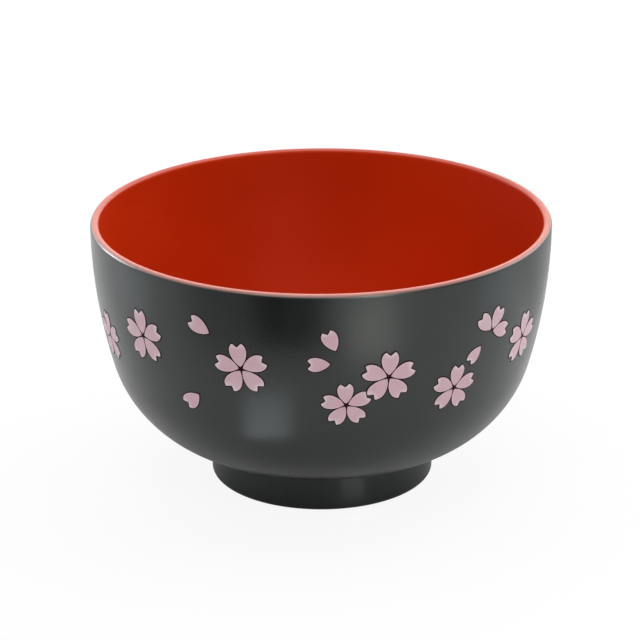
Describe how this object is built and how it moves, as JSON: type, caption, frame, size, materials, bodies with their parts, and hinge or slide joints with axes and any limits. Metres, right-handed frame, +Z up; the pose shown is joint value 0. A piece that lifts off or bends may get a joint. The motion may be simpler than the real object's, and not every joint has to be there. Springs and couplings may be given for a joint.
{
  "type": "lacquer soup bowl",
  "caption": "Round open soup bowl on a foot ring: moulded core, red lacquer inside and over the lip, black lacquer outside, pink cherry blossom print with dark outlines.",
  "frame": {"origin": "centre of the foot ring on the plane that the bowl stands on", "axes": "+Z up along the bowl's axis, -Y towards the middle of the front print, +X to the right of someone who faces that print"},
  "size_m": [0.11, 0.11, 0.065],
  "materials": {
    "core": "moulded wood powder and resin, bare only on the foot's ring",
    "red_lacquer": "satin red lacquer",
    "black_lacquer": "satin black lacquer",
    "outline_ink": "dark wine ink",
    "pink_ink": "matt pink ink"
  },
  "bodies": {
    "root": {"back_blossom_1": "pink_ink", "back_blossom_2": "pink_ink", "back_blossom_3": "pink_ink", "back_blossom_4": "pink_ink", "back_blossom_5": "pink_ink", "back_blossom_6": "pink_ink", "back_blossom_7": "pink_ink", "back_half_blossom": "pink_ink", "back_loose_petal_1": "pink_ink", "back_loose_petal_2": "pink_ink", "back_loose_petal_3": "pink_ink", "back_loose_petal_4": "pink_ink", "back_loose_petal_5": "pink_ink", "back_outlines": "outline_ink", "black_outer_coat": "black_lacquer", "bowl_core": "core", "foot_recess_coat": "black_lacquer", "front_blossom_1": "pink_ink", "front_blossom_2": "pink_ink", "front_blossom_3": "pink_ink", "front_blossom_4": "pink_ink", "front_blossom_5": "pink_ink", "front_blossom_6": "pink_ink", "front_blossom_7": "pink_ink", "front_half_blossom": "pink_ink", "front_loose_petal_1": "pink_ink", "front_loose_petal_2": "pink_ink", "front_loose_petal_3": "pink_ink", "front_loose_petal_4": "pink_ink", "front_loose_petal_5": "pink_ink", "front_outlines": "outline_ink", "red_inner_coat": "red_lacquer"}
  },
  "joints": []
}
